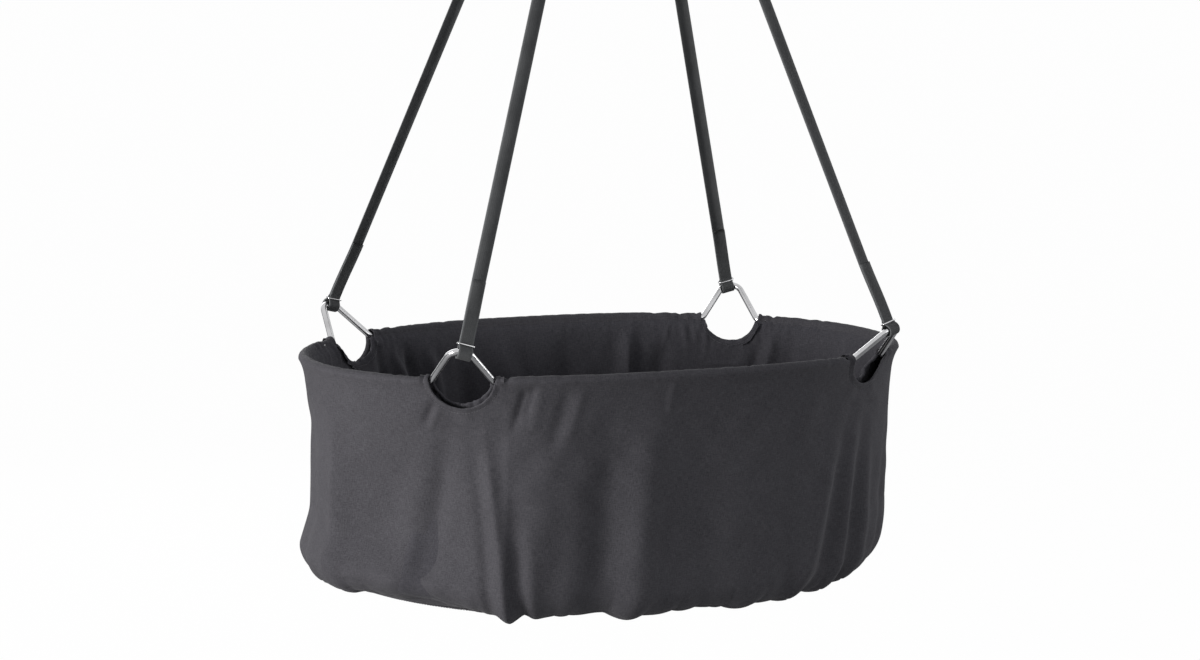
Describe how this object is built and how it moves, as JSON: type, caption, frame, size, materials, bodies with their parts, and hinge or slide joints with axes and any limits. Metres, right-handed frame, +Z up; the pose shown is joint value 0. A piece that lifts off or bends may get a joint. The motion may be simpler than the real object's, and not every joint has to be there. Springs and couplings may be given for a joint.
{
  "type": "hanging baby cradle",
  "caption": "Oval cloth cradle hung from a steel rim with raised peaks, by webbing straps that meet at a link under a swivel snap hook.",
  "frame": {"origin": "seat of the hook, where the cradle hangs from its support", "axes": "+Z up, +X along the cradle's length, +Y to its back"},
  "size_m": [0.7924, 0.4822, 1.3156],
  "materials": {
    "steel": "satin",
    "dark_steel": "satin",
    "cloth": "matte canvas weave",
    "lining": "matte canvas weave",
    "webbing": "ribbed webbing",
    "board": "satin plywood",
    "foam": "open foam",
    "cover": "matte cotton"
  },
  "bodies": {
    "hook": {"hook_body": "steel", "gate_rivet": "dark_steel"},
    "gate": {"hook_gate": "steel", "gate_plunger": "dark_steel", "gate_spring": "dark_steel"},
    "eye": {"swivel_eye": "steel"},
    "link": {"strap_link": "steel"},
    "cradle": {"rim_rod_right": "steel", "rim_rod_left": "steel", "rim_sleeve_front": "dark_steel", "rim_sleeve_back": "dark_steel", "joint_pin_front_right": "dark_steel", "joint_pin_front_left": "dark_steel", "joint_pin_back_right": "dark_steel", "joint_pin_back_left": "dark_steel", "outer_wall": "cloth", "lining": "lining", "cutout_facing_front_left": "cloth", "cutout_facing_front_right": "cloth", "cutout_facing_back_right": "cloth", "cutout_facing_back_left": "cloth", "hem_front": "cloth", "hem_right": "cloth", "hem_back": "cloth", "hem_left": "cloth", "bottom_panel": "cloth", "base_board": "board", "strap_front_left": "webbing", "strap_front_right": "webbing", "strap_back_right": "webbing", "strap_back_left": "webbing"},
    "mattress": {"mattress_cover": "cover", "mattress_core": "foam", "mattress_underside": "cover"},
    "keeper_front_left": {"keeper_front_left": "steel"},
    "keeper_front_right": {"keeper_front_right": "steel"},
    "keeper_back_right": {"keeper_back_right": "steel"},
    "keeper_back_left": {"keeper_back_left": "steel"}
  },
  "joints": [
    {"name": "gate_hinge", "type": "hinge", "parent": "hook", "child": "gate", "pos_m": [0.018, 0, -0.047], "axis": [0, -1, 0], "range_deg": [0, 35], "stiffness_Nm_per_rad": 0.06, "springref_deg": -28.65},
    {"name": "hook_swivel", "type": "hinge", "parent": "hook", "child": "eye", "pos_m": [0, 0, -0.08], "axis": [0, 0, 1], "continuous": true},
    {"name": "link_swing", "type": "hinge", "parent": "eye", "child": "link", "pos_m": [0, 0, -0.1055], "axis": [0, 1, 0], "range_deg": [-20, 20]},
    {"name": "cradle_swing", "type": "hinge", "parent": "link", "child": "cradle", "pos_m": [0, 0, -0.18103], "axis": [1, 0, 0], "range_deg": [-20, 20]},
    {"name": "mattress_lift", "type": "slide", "parent": "cradle", "child": "mattress", "axis": [0, 0, 1], "range_m": [0, 0.35]},
    {"name": "keeper_slide_front_left", "type": "slide", "parent": "cradle", "child": "keeper_front_left", "axis": [0.3155, 0.2427, 0.9174], "range_m": [0, 0.06]},
    {"name": "keeper_slide_front_right", "type": "slide", "parent": "cradle", "child": "keeper_front_right", "axis": [-0.2932, 0.2443, 0.9243], "range_m": [0, 0.06]},
    {"name": "keeper_slide_back_right", "type": "slide", "parent": "cradle", "child": "keeper_back_right", "axis": [-0.3155, -0.2427, 0.9174], "range_m": [0, 0.06]},
    {"name": "keeper_slide_back_left", "type": "slide", "parent": "cradle", "child": "keeper_back_left", "axis": [0.2932, -0.2443, 0.9243], "range_m": [0, 0.06]}
  ]
}
